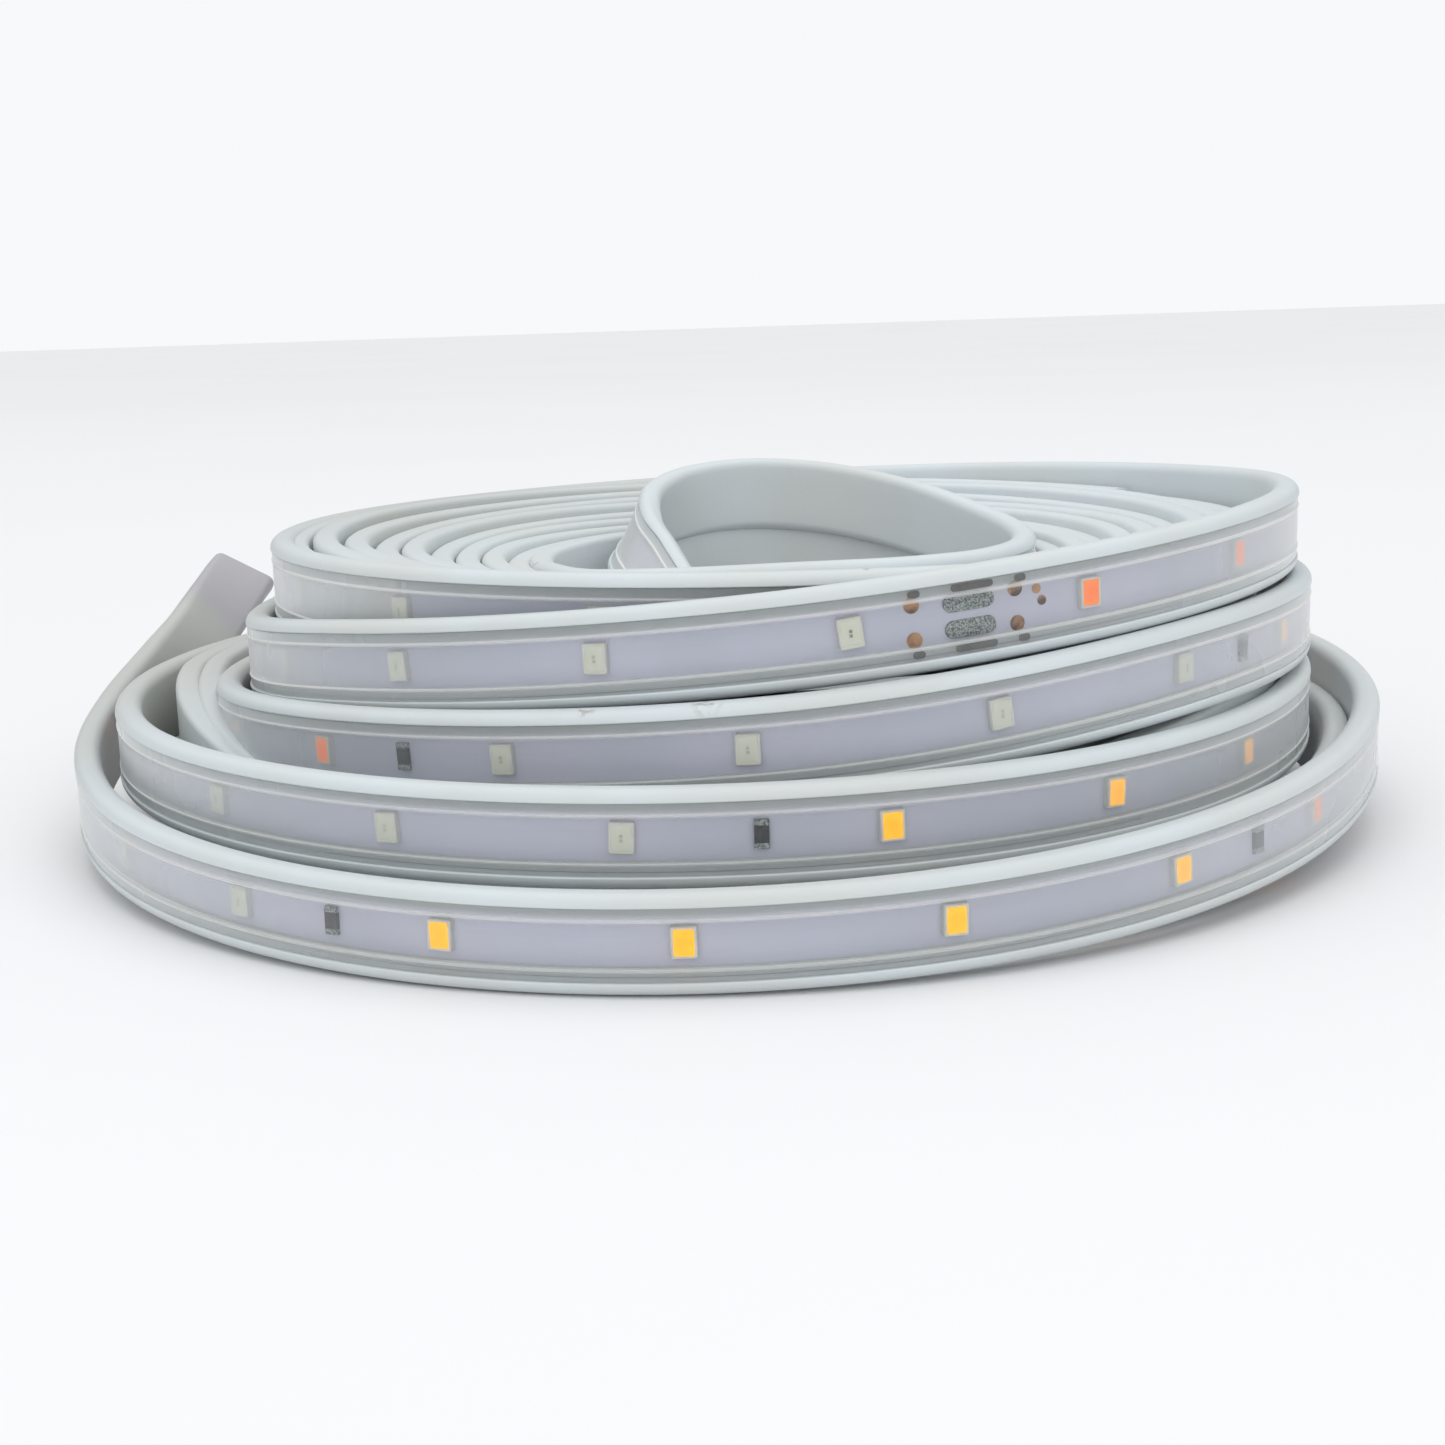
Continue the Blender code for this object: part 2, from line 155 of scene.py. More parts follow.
# angle, radius, offset, height, lean, here and in the rows below
nestRows = [
    (1560, 66.2, 6.3, 33.9, 0), (1920, 62.7, 6.7, 33.8, 0), (2640, 55.3, 7.5, 32.4, 0),
    (3360, 48.4, 8.1, 30.8, 0), (4080, 41.8, 8.8, 29.4, 0), (4440, 38.9, 9.5, 28.9, 0),
    (4800, 36.5, 10.3, 29.2, 0), (4962, 34.7, 10.0, 30.2, 0),
]
middleRows = [(0, 64.6, 5.6, 20.0, 0), (1260, 52.0, 7.2, 18.6, 0), (2520, 39.4, 8.8, 17.0, 0)]
bottomRows = [(0, 63.8, 2.2, 5.7, 0), (900, 52.0, 5.4, 5.7, 0), (1800, 39.6, 8.8, 5.7, 0)]
floorRows = [
    (0, 76.2, 1.0, 4.7, 55), (20, 77.6, 1.0, 4.8, 55), (45, 80.5, 1.0, 5.5, 45), (75, 83.0, 0.7, 7.6, 15),
    (100, 83.7, 0.5, 8.0, 5), (125, 82.0, 0.8, 7.0, 25), (155, 79.3, 1.0, 5.5, 48), (175, 79.1, 1.0, 5.4, 45),
    (265, 79.1, 1.0, 5.4, 45), (350, 70.0, 1.0, 4.8, 55), (420, 69.9, 1.0, 4.7, 55),
    (640, 69.9, 1.0, 4.7, 55),
]


def outerPath():
    # radius = nest radius + layers x thickness, height = widths x strip width
    rows = [(angle, nestRadius + layers * strip["thickness"], offset, widths * strip["width"], lean)
            for angle, layers, offset, widths, lean in outerRows]
    return rowsPath(rows)


def innerPath():
    x, y, z, lean = np.array(innerRows, float).T
    keys = np.concatenate([[0.0], np.cumsum(np.hypot(np.diff(x), np.diff(y)))])
    fine = np.linspace(0.0, keys[-1], 400)
    points = np.column_stack([smoothThrough(keys, values, fine) for values in (x, y, z)])
    return pathFrom(points, -np.interp(fine, keys, lean))


def eased(angles, start, end):
    # 0 before the start, 1 after the end, smooth between
    t = np.clip((angles - start) / (end - start), 0, 1)
    return 3 * t**2 - 2 * t**3


# thickness and rounding of the turns whose fronts can't be seen; swells are size, rate and start
nestLay = {
    "thickness": 3.4, "bend": 0.25, "bendSteps": 4, "flatFrom": 1.0,
    "station": 2.6, "lowerStation": 3.5, "tuckedStation": 2.0,
    "fade": 120.0, "swells": [(0.25, 0.37, 0.0), (0.2, 1.61, 1.0), (0.15, 2.83, 0.0)],
    "leftRise": 1.2, "backRise": 0.8,
}


def nestPath():
    # the nest's turns lie a little unevenly: height + sum of size x sin(rate x turn + start), and a
    # rise to the left and the back, all fading out towards both ends
    path = rowsPath(nestRows, 1.0)
    turn = np.radians(path["angle"])
    fade = np.clip(np.minimum(path["s"], path["s"][-1] - path["s"]) / nestLay["fade"], 0, 1)
    wave = sum(size * np.sin(rate * turn + start) for size, rate, start in nestLay["swells"])
    wave += nestLay["leftRise"] * np.clip(-np.sin(turn), 0, 1)
    wave += nestLay["backRise"] * np.clip(-np.cos(turn), 0, 1)
    points = path["centre"] + np.array([0, 0, 1]) * (wave * fade)[:, None]
    return pathFrom(points, np.zeros(len(turn)), path["angle"])


# the turns are share of the way, height and first angle
tucked = {
    "turns": [(0.5, 16.4, 198.0), (0.76, 16.8, 225.0)], "lastAngle": 325.0, "rise": 6.0, "riseOver": 28.0,
    "slipFrom": 268.0, "slipOver": 44.0, "slipPower": 1.4, "slipShare": 1.04, "slipDrop": 9.0,
}


def tuckedPath(outer, share, height, first):
    # a turn lying at the left between two loose turns, at its share of the way between them: it comes
    # up from below at the back and slips under the inner one towards the front
    angles = np.arange(first, tucked["lastAngle"], 1.0)
    near = framesAt(outer, lengthAt(outer, angles))[0]
    far = framesAt(outer, lengthAt(outer, angles + 360))[0]
    slip = np.clip((angles - tucked["slipFrom"]) / tucked["slipOver"], 0, 1) ** tucked["slipPower"]
    points = near + (far - near) * (share + (tucked["slipShare"] - share) * slip)[:, None]
    sunk = 1 - eased(angles, first, first + tucked["riseOver"])
    points[:, 2] = height - tucked["slipDrop"] * slip - tucked["rise"] * sunk
    return pathFrom(points, np.zeros(len(angles)), angles)


# each pair of angles is where a change of height or depth begins and ends
rightTurn = {
    "angles": (362.0, 562.0), "inwards": 3.7, "further": 2.2, "furtherAt": (500, 548),
    "low": 2.4, "lift": 4.2, "climbAt": (378, 444), "fallAt": (488, 545), "rise": 6.7, "riseAt": (362, 390),
}


def rightPath(outer):
    # a turn lying at the right against the back of the second loose turn: it comes up from below at the
    # front and slips down and inwards behind that turn at the back
    angles = np.arange(*rightTurn["angles"], 1.0)
    centre, _, outward, _ = framesAt(outer, lengthAt(outer, angles))
    inwards = rightTurn["inwards"] + rightTurn["further"] * eased(angles, *rightTurn["furtherAt"])
    points = centre - outward * inwards[:, None]
    raised = eased(angles, *rightTurn["climbAt"]) - eased(angles, *rightTurn["fallAt"])
    points[:, 2] += (rightTurn["lift"] + rightTurn["low"]) * raised - rightTurn["low"]
    points[:, 2] -= rightTurn["rise"] * (1 - eased(angles, *rightTurn["riseAt"]))
    return pathFrom(points, np.zeros(len(angles)), angles)


# Sections, as (depth, across) points round a closed outline
def arc(middle, radius, start, end, steps):
    turn = np.radians(np.linspace(start, end, steps + 1))
    return np.column_stack([middle[0] + radius * np.cos(turn), middle[1] + radius * np.sin(turn)])


def mirrored(upper):
    # the upper half of an outline, followed by its mirror image below
    return np.concatenate([upper, upper[::-1] * (1, -1)])


def sleeveSection():
    # C: soft rounded rims outside, a rounded lip, a flat floor inside; the extra points on the floor
    # and the back keep their shading flat
    half, deep = strip["width"] / 2, strip["thickness"] / 2
    wall, floor = half - strip["rimWall"], strip["backWall"] - deep
    front, back, lip = strip["frontCorner"], strip["backCorner"], strip["lip"]
    steps = strip["cornerSteps"]
    return mirrored(np.concatenate([
        [(floor, wall * 0.5), (floor, wall)],
        arc((deep - lip, wall + lip), lip, -90, 0, strip["lipSteps"]),
        arc((deep - front, half - front), front, 0, 90, steps),
        arc((back - deep, half - back), back, 90, 180, steps),
        [(-deep, half * 0.4)],
    ]))


def coverSection():
    # clear plate, faintly crowned, with a fine ridge above and below the window: height x sine ^ power
    half = strip["width"] / 2 - strip["rimWall"] - strip["coverEdge"]
    front, bevel = strip["thickness"] / 2 - strip["coverRecess"], strip["coverBevel"]
    at, spread = strip["ridgeAt"], strip["ridgeWidth"] / 2
    t = np.linspace(0, 1, strip["ridgeSteps"])
    rise = strip["ridgeHeight"] * np.sin(math.pi * t) ** strip["ridgePower"]
    return mirrored(np.concatenate([
        [(front + strip["crownHeight"], strip["crownAt"]), (front, strip["crownEnd"])],
        np.column_stack([front + rise, at - spread + 2 * spread * t]),
        [(front, half - 3 * bevel), (front - bevel, half), (front - strip["coverThickness"], half)],
    ]))


def tapeSection():
    half = strip["width"] / 2 - strip["rimWall"] - strip["gap"]
    low = strip["backWall"] + strip["tapeLift"] - strip["thickness"] / 2
    high = low + strip["tapeThickness"]
    return np.array([(low, -half), (high, -half), (high, -half / 2),
                     (high, half / 2), (high, half), (low, half)])


def solidSection():
    # a turn whose front can't be seen: the sleeve's outline without its hollow
    half, deep = strip["width"] / 2, nestLay["thickness"] / 2
    bend, steps, flat = nestLay["thickness"] * nestLay["bend"], nestLay["bendSteps"], nestLay["flatFrom"]
    return mirrored(np.concatenate([
        [(deep, flat)], arc((deep - bend, half - bend), bend, 0, 90, steps),
        arc((bend - deep, half - bend), bend, 90, 180, steps), [(-deep, flat)]]))


# Meshes. The shift takes the route's own axis to its place in the shared frame
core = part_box("wound_core")
shift = (core[0] + core[1]) / 2 * metre - Vector((coreOffset, 0, 0))
shift = np.array([shift.x, shift.y, 0.0])


def layMesh(name, points, faces, marks, finish, nodes, sharp=38):
    # points in millimetres of the route; faces as a list of index arrays, each of one corner count;
    # marks are the points' places on the UV map. Faces are turned round if the volume comes out negative
    points = points + shift
    volume = 0.0
    for block in faces:
        first = points[block[:, 0]]
        for k in range(1, block.shape[1] - 1):
            second, third = points[block[:, k]], points[block[:, k + 1]]
            volume += np.einsum("ij,ij->", first, np.cross(second, third))
    if volume < 0:
        faces = [block[:, ::-1] for block in faces]
    corners = np.concatenate([block.ravel() for block in faces]).astype(np.int32)
    counts = np.concatenate([np.full(len(block), block.shape[1]) for block in faces])
    mesh = bpy.data.meshes.new(name)
    mesh.vertices.add(len(points))
    mesh.vertices.foreach_set("co", (points / metre).astype(np.float32).ravel())
    mesh.loops.add(len(corners))
    mesh.polygons.add(len(counts))
    mesh.polygons.foreach_set("loop_start", (np.cumsum(counts) - counts).astype(np.int32))
    mesh.polygons.foreach_set("vertices", corners)
    mesh.update(calc_edges=True)
    mesh.validate()
    uvMap = mesh.uv_layers.new(name="strip")
    uvMap.data.foreach_set("uv", marks[corners].astype(np.float32).ravel())
    mesh.shade_smooth()
    mesh.set_sharp_from_angle(angle=math.radians(sharp))
    mesh.materials.append(finish)
    piece = bpy.data.objects.new(name, mesh)
    bpy.context.scene.collection.objects.link(piece)
    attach(piece, "root")
    if nodes:
        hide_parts(*nodes)
    return piece


def ringFaces(rows, columns):
    # quads between neighbouring rings, closed round the columns
    index = np.arange(rows * columns).reshape(rows, columns)
    after = np.roll(index, -1, axis=1)
    return np.stack([index[:-1], after[:-1], after[1:], index[1:]], axis=-1).reshape(-1, 4)


def ribbonParts(path, section, station):
    # section carried along the path: point = centre + depth x outward + across x up
    length = path["s"][-1]
    s = np.linspace(0.0, length, max(2, int(round(length / station)) + 1))
    centre, _, outward, up = framesAt(path, s)
    points = (centre[:, None] + section[None, :, 0, None] * outward[:, None]
              + section[None, :, 1, None] * up[:, None])
    marks = np.stack(np.broadcast_arrays(s[:, None] / 100, section[None, :, 1] / strip["width"] + 0.5), -1)
    rows, columns = points.shape[:2]
    caps = np.array([np.arange(columns)[::-1], np.arange(columns) + (rows - 1) * columns])
    return points.reshape(-1, 3), ringFaces(rows, columns), caps, marks.reshape(-1, 2)


def ribbon(name, paths, section, finish, nodes, station=strip["station"]):
    # one section along one or more paths, in one piece
    points, quads, caps, marks, count = [], [], [], [], 0
    for path in paths:
        made = ribbonParts(path, section, station)
        points.append(made[0])
        quads.append(made[1] + count)
        caps.append(made[2] + count)
        marks.append(made[3])
        count += len(made[0])
    return layMesh(name, np.concatenate(points), [np.concatenate(quads), np.concatenate(caps)],
                   np.concatenate(marks), finish, nodes)


cornerPoints = 5  # points round each corner of a block


def blocks(name, path, places, acrosses, levels, finish, nodes, skew=0.0):
    # small rounded blocks on the tape: each level is half length, half width, height and corner radius,
    # and each block is its rounded rectangles joined ring by ring. The skew turns each one a little
    quarter = np.radians(np.linspace(0, 90, cornerPoints))
    turn = np.concatenate([quarter + k * math.pi / 2 for k in range(4)])
    sideX = np.repeat([1, -1, -1, 1], cornerPoints)
    sideY = np.repeat([1, 1, -1, -1], cornerPoints)
    halfX, halfY, height, corner = np.array(levels, float).T
    x = sideX * (halfX - corner)[:, None] + corner[:, None] * np.cos(turn)
    y = sideY * (halfY - corner)[:, None] + corner[:, None] * np.sin(turn)
    tilt = np.resize(np.array([skew, -skew * 0.6, skew * 0.3, -skew]), len(places))[:, None, None]
    x, y = x * np.cos(tilt) - y * np.sin(tilt), x * np.sin(tilt) + y * np.cos(tilt)
    y = y + np.asarray(acrosses, float)[:, None, None]
    centre, ahead, outward, up = framesAt(path, np.asarray(places, float))
    base = strip["backWall"] + strip["tapeLift"] + strip["tapeThickness"] - strip["thickness"] / 2
    points = (centre[:, None, None] + x[..., None] * ahead[:, None, None] + y[..., None] * up[:, None, None]
              + (base + height)[None, :, None, None] * outward[:, None, None])
    rows, columns = x.shape[1:]
    quads = ringFaces(rows, columns)
    caps = np.array([np.arange(columns)[::-1], np.arange(columns) + (rows - 1) * columns])
    step = (np.arange(len(places)) * rows * columns)[:, None, None]
    faces = [(quads[None] + step).reshape(-1, 4), (caps[None] + step).reshape(-1, columns)]
    marks = np.stack([x, y], -1)
    return layMesh(name, points.reshape(-1, 3), faces, marks.reshape(-1, 2), finish, nodes)


# Shader writing
class Wire:
    # one output socket; sums on it add Math nodes
    def __init__(self, finish, socket):
        self.finish, self.socket = finish, socket

    def math(self, operation, *others):
        return self.finish.node("ShaderNodeMath", {"operation": operation}, dict(enumerate((self,) + others)))

    def __add__(self, other):
        return self.math("ADD", other)

    def __sub__(self, other):
        return self.math("SUBTRACT", other)

    def __rsub__(self, other):
        return self.finish.node("ShaderNodeMath", {"operation": "SUBTRACT"}, {0: other, 1: self})

    def __mul__(self, other):
        return self.math("MULTIPLY", other)

    __radd__ = __add__
    __rmul__ = __mul__

    def between(self, low, high):
        # 0 below low, 1 above high, eased between
        return self.finish.node("ShaderNodeMapRange", {"interpolation_type": "SMOOTHSTEP"},
                                {"Value": self, "From Min": low, "From Max": high})


class Finish:
    # one material, or the world; node() makes any node from its type, its settings and its sockets
    def __init__(self, name, world=None):
        self.material = world or bpy.data.materials.new(name)
        self.material.use_nodes = True
        self.tree = self.material.node_tree
        self.shader = self.tree.nodes["Background" if world else "Principled BSDF"]

    def fill(self, node, sockets):
        for key, value in sockets.items():
            socket = node.inputs[key]
            if isinstance(value, Wire):
                self.tree.links.new(value.socket, socket)
            elif hasattr(socket.default_value, "__len__") and not hasattr(value, "__len__"):
                socket.default_value = [value] * len(socket.default_value)
            elif hasattr(value, "__len__") and len(value) == 3 and len(socket.default_value) == 4:
                socket.default_value = (*value, 1.0)
            else:
                socket.default_value = value

    def node(self, kind, settings=None, sockets=None, out=0):
        made = self.tree.nodes.new(kind)
        for key, value in (settings or {}).items():
            setattr(made, key, value)
        self.fill(made, sockets or {})
        return Wire(self, made.outputs[out])

    def mix(self, share, first, second):
        return self.node("ShaderNodeMix", {"data_type": "RGBA"}, {0: share, 6: first, 7: second}, 2)

    def places(self):
        return self.node("ShaderNodeTexCoord", out=3)

    def stripMap(self):
        # lengths along the strip in units of 100 mm, and the share of its width
        uv = self.node("ShaderNodeUVMap", {"uv_map": "strip"})
        return (self.node("ShaderNodeSeparateXYZ", sockets={0: uv}, out=0),
                self.node("ShaderNodeSeparateXYZ", sockets={0: uv}, out=1))

    def noise(self, where, scale, detail=2.0):
        return self.node("ShaderNodeTexNoise", sockets={"Vector": where, "Scale": scale, "Detail": detail})

    def distance(self, where, spot):
        return self.node("ShaderNodeVectorMath", {"operation": "DISTANCE"}, {0: where, 1: spot}, 1)

    def bump(self, height, strength, distance):
        return self.node("ShaderNodeBump",
                         sockets={"Height": height, "Strength": strength, "Distance": distance})

    def set(self, **sockets):
        named = {key.replace("_", " "): value for key, value in sockets.items()}
        self.fill(self.shader, named)
        return self.material


# how far into the back left the cream tone, a painted shade, begins and is full, in metres; from what share
# of the width the lower rim's painted shade fades; the tail tone is painted shade; marks are angle along the
# strip, across, size
sleeveLook = {
    "cool": (0.70, 0.755, 0.775), "warm": (0.68, 0.705, 0.69), "cloudScale": 38.0,
    "cream": (0.51, 0.515, 0.475), "backShadeShare": 0.8, "backShadeAt": (0.02, 0.13), "backShadeSlant": 1.2,
    "under": (0.44, 0.47, 0.49), "underShare": 0.45, "underAt": (0.03, 0.14),
    "tail": (0.44, 0.425, 0.46), "tailShare": 0.8, "tailFrom": 14.0, "tailTo": 24.0,
    "dirt": (0.30, 0.22, 0.15), "dirtShare": 0.5, "dirtScale": 900.0, "marksLift": 0.5,
    "marks": [(704.3, 5.3, 1.6), (714.6, 5.3, 2.2), (1448.7, 5.2, 1.1)],
    "roughness": 0.42, "fineScale": 1400.0, "softScale": 160.0, "gloss": 0.45,
}


def sleeveFinish(name, outer):
    look = sleeveLook
    made = Finish(name)
    where = made.places()
    cloud = made.noise(where, look["cloudScale"], 3.0).between(0.35, 0.7)
    base = made.mix(cloud, look["cool"], look["warm"])
    x = made.node("ShaderNodeSeparateXYZ", sockets={0: where}, out=0)
    y = made.node("ShaderNodeSeparateXYZ", sockets={0: where}, out=1)
    # painted shade: a darker, creamier tone over the back left of the coil
    backLeftShade = (y - x * look["backShadeSlant"]).between(*look["backShadeAt"])
    base = made.mix(backLeftShade * look["backShadeShare"], base, look["cream"])
    share = made.stripMap()[1]
    # painted shade: the lower rim made greyer and darker
    base = made.mix((1 - share.between(*look["underAt"])) * look["underShare"], base, look["under"])
    # painted shade: a mauve-grey tone near the tail end of the strip
    away = made.distance(where, tuple((outer["centre"][0] + shift) / metre))
    tail = 1 - away.between(look["tailFrom"] / metre, look["tailTo"] / metre)
    base = made.mix(tail * look["tailShare"], base, look["tail"])
    for angle, across, size in look["marks"]:
        centre, _, outward, up = framesAt(outer, np.array([lengthAt(outer, angle)]))
        spot = (centre + outward * look["marksLift"] + up * across)[0] + shift
        away = made.distance(where, tuple(spot / metre))
        speck = made.noise(where, look["dirtScale"], 3.0).between(0.48, 0.6)
        mask = (1 - away.between(size * 0.3 / metre, size / metre)) * speck
        base = made.mix(mask * look["dirtShare"], base, look["dirt"])
    grain = made.noise(where, look["fineScale"], 2.0) + made.noise(where, look["softScale"], 2.0) * 2.0
    return made.set(Base_Color=base, Roughness=cloud * 0.1 + look["roughness"],
                    Normal=made.bump(grain, 0.12, 0.0002), Specular_IOR_Level=look["gloss"])


# the line is the fine ridge, the edge lies beyond it, and the edge's grey-green tone is painted shade;
# distances across are in mm from the middle
coverLook = {
    "window": (0.68, 0.70, 0.715), "line": (0.86, 0.86, 0.84), "edge": (0.66, 0.69, 0.69),
    "windowAlpha": 0.035, "lineAlpha": 0.34, "edgeAlpha": 0.17, "grazing": 1.08,
    "roughness": 0.22, "lineFrom": 2.44, "lineTo": 2.86, "lineSoft": 0.08, "cloudScale": 55.0,
}


def coverFinish():
    look = coverLook
    made = Finish("milky clear front")
    share = made.stripMap()[1]
    across = ((share - 0.5) * strip["width"]).math("ABSOLUTE")
    start, end, soft = look["lineFrom"], look["lineTo"], look["lineSoft"]
    line = across.between(start - soft, start + soft) * (1 - across.between(end - soft, end + soft))
    edge = across.between(end - 0.05, end + 0.12)
    cloud = made.noise(made.places(), look["cloudScale"], 3.0)
    # painted shade: the strips beyond the ridge made greyer and greener
    colour = made.mix(edge, look["window"], look["edge"])
    colour = made.mix(line, colour, look["line"])
    alpha = (cloud * 0.06 + (look["windowAlpha"] - 0.03)
             + edge * (look["edgeAlpha"] - look["windowAlpha"])
             + line * (look["lineAlpha"] - look["windowAlpha"]))
    facing = made.node("ShaderNodeLayerWeight", sockets={"Blend": 0.5}, out=1)
    alpha = alpha + facing * facing * look["grazing"]
    return made.set(Base_Color=colour, Roughness=cloud * 0.12 + look["roughness"],
                    Alpha=alpha.math("MINIMUM", 1.0))


# the rim is a darker grey-green band along the tape's edges, painted shade for the sleeve's shaded side walls
# beside the window; the thread is a faint line that wanders along the tape, in mm
tapeLook = {
    "mask": (0.66, 0.67, 0.775), "dusk": (0.60, 0.62, 0.715), "cloudScale": 30.0,
    "rim": (0.50, 0.53, 0.53), "shadedRimAt": (2.5, 2.9),
    "thread": (0.54, 0.55, 0.64), "threadShare": 0.15, "threadAt": (0.05, 0.22),
    "sway": 3.0, "swayScale": 7.0,
    "roughness": 0.5, "grainScale": 500.0,
}


def tapeFinish():
    look = tapeLook
    made = Finish("lavender circuit tape")
    across = (made.stripMap()[1] - 0.5) * strip["width"]
    where = made.places()
    cloud = made.noise(where, look["cloudScale"], 2.0).between(0.35, 0.65)
    base = made.mix(cloud, look["mask"], look["dusk"])
    sway = made.noise(where, look["swayScale"], 0.0) * look["sway"] - look["sway"] / 2
    thread = 1 - (across - sway).math("ABSOLUTE").between(*look["threadAt"])
    base = made.mix(thread * look["threadShare"], base, look["thread"])
    # painted shade: the tape darker and greener towards its edges
    base = made.mix(across.math("ABSOLUTE").between(*look["shadedRimAt"]), base, look["rim"])
    return made.set(Base_Color=base, Roughness=look["roughness"],
                    Normal=made.bump(made.noise(where, look["grainScale"]), 0.15, 0.0002))


def lampFinish(name, middle, rim, glow):
    # saturated in the middle of the lamp, paler to its edge, faintly mottled; the lamps are unlit, so the
    # emission is a painted glow
    made = Finish(name)
    x, y = made.stripMap()
    reach = (x * x * 1.5 + y * y).math("SQRT")
    where = made.places()
    mottle = made.noise(where, 1500.0, 2.0).between(0.4, 0.65) * 0.35
    colour = made.mix(reach.between(0.3, 1.7) * 0.6 + mottle, middle, rim)
    # painted glow: emission on a lamp that is not lit
    return made.set(Base_Color=colour, Roughness=0.5, Emission_Color=colour, Emission_Strength=glow)


def plainFinish(name, first, second, scale, roughness, bump=0.2):
    # two tones clouded together, with a fine bump
    made = Finish(name)
    where = made.places()
    cloud = made.noise(where, scale, 3.0)
    return made.set(Base_Color=made.mix(cloud.between(0.38, 0.62), first, second),
                    Roughness=cloud * 0.2 + (roughness - 0.1),
                    Normal=made.bump(cloud, bump, 0.0002))


# Lamps: groups of four by colour, a resistor midway between groups, a soldered joint where the
# order of the colours breaks off. Each anchor is a lamp: its angle, its place in its group, the
# colour of its group, and how many lamps before it follow its own order
lampRun = {
    "colours": ["amber", "orange", "cream"], "group": 4,
    "anchors": [(-20.74, 0, 0, 20), (373.3, 0, 0, 10), (674.3, 3, 1, 9), (1041.2, 1, 2, 9),
                (1107.9, 0, 1, 0), (1398.6, 2, 2, 7)],
    "endMargin": 9.0,
    # lamps don't lie quite evenly: angle along the strip and how far on the lamps there have moved
    "moved": [(-60, 0), (-21, 0), (-3, -1.4), (16, -0.6), (34, 0.6), (60, 0), (330, -0.5), (353.5, -1.1),
              (373, 0), (393, 1.4), (430, 0), (674, 0), (696, 0.4), (717.5, 1.0), (739, 2.0), (761, 1.5),
              (800, 0), (1020, 0), (1041, -0.4), (1063.5, -0.9), (1085.7, 0), (1108, 1.5), (1130, 2.2),
              (1170, 0)],
}


def noPlaces():
    return {"amber": [], "orange": [], "cream": [], "resistor": [], "joint": []}


def lampPlaces(path):
    # lamps are spread evenly between two anchors, at the count nearest to the strip's own pitch
    pitch, group, found = strip["lampPitch"], lampRun["group"], noPlaces()
    anchors = lampRun["anchors"]
    lengths = [lengthAt(path, row[0]) for row in anchors]

    def put(s, after, row):
        # a lamp, counted on from its anchor; says whether it is the first of its group
        _, inGroup, colour, _ = row
        order, place = divmod(after + inGroup, group)
        found[lampRun["colours"][(colour + order) % 3]].append(s)
        return place == 0

    firstCount = int((lengths[0] - lampRun["endMargin"]) / pitch)
    for k in range(-firstCount, 0):
        s = lengths[0] + k * pitch
        if put(s, k, anchors[0]) and k > -firstCount:
            found["resistor"].append(s - pitch / 2)
    for row, after, start, end in zip(anchors, anchors[1:], lengths, lengths[1:]):
        count = int(round((end - start) / pitch))
        step = (end - start) / count
        for k in range(count):
            own = count - k > after[3]
            starts = put(start + k * step, k if own else k - count, row if own else after)
            if count - k == after[3] and after[3]:
                found["joint"].append(start + (k - 0.5) * step)
            elif starts:
                found["resistor"].append(start + (k - 0.5) * step)
        if not after[3]:
            found["joint"].append(end - step / 2)
    lastCount = int((path["s"][-1] - lengths[-1]) / pitch)
    for k in range(lastCount + 1):
        s = lengths[-1] + k * pitch
        if put(s, k, anchors[-1]) and k:
            found["resistor"].append(s - pitch / 2)
    # no resistor where a joint lies; then each lamp and resistor moves by its own little error
    apart = pitch / 4
    found["resistor"] = [s for s in found["resistor"] if min(abs(s - j) for j in found["joint"]) > apart]
    angles, moves = np.array(lampRun["moved"], float).T
    for kind in lampRun["colours"] + ["resistor"]:
        places = np.array(found[kind])
        found[kind] = list(places + np.interp(np.interp(places, path["s"], path["angle"]), angles, moves))
    return found


def evenPlaces(start, end):
    # a plain run of lamps with the same grouping, for a turn that isn't tied to an anchor
    pitch, group, found = strip["lampPitch"], lampRun["group"], noPlaces()
    for k in range(int((end - start) / pitch) + 1):
        s = start + k * pitch
        found[lampRun["colours"][(k // group) % 3]].append(s)
        if k % group == 0 and k:
            found["resistor"].append(s - pitch / 2)
    return found


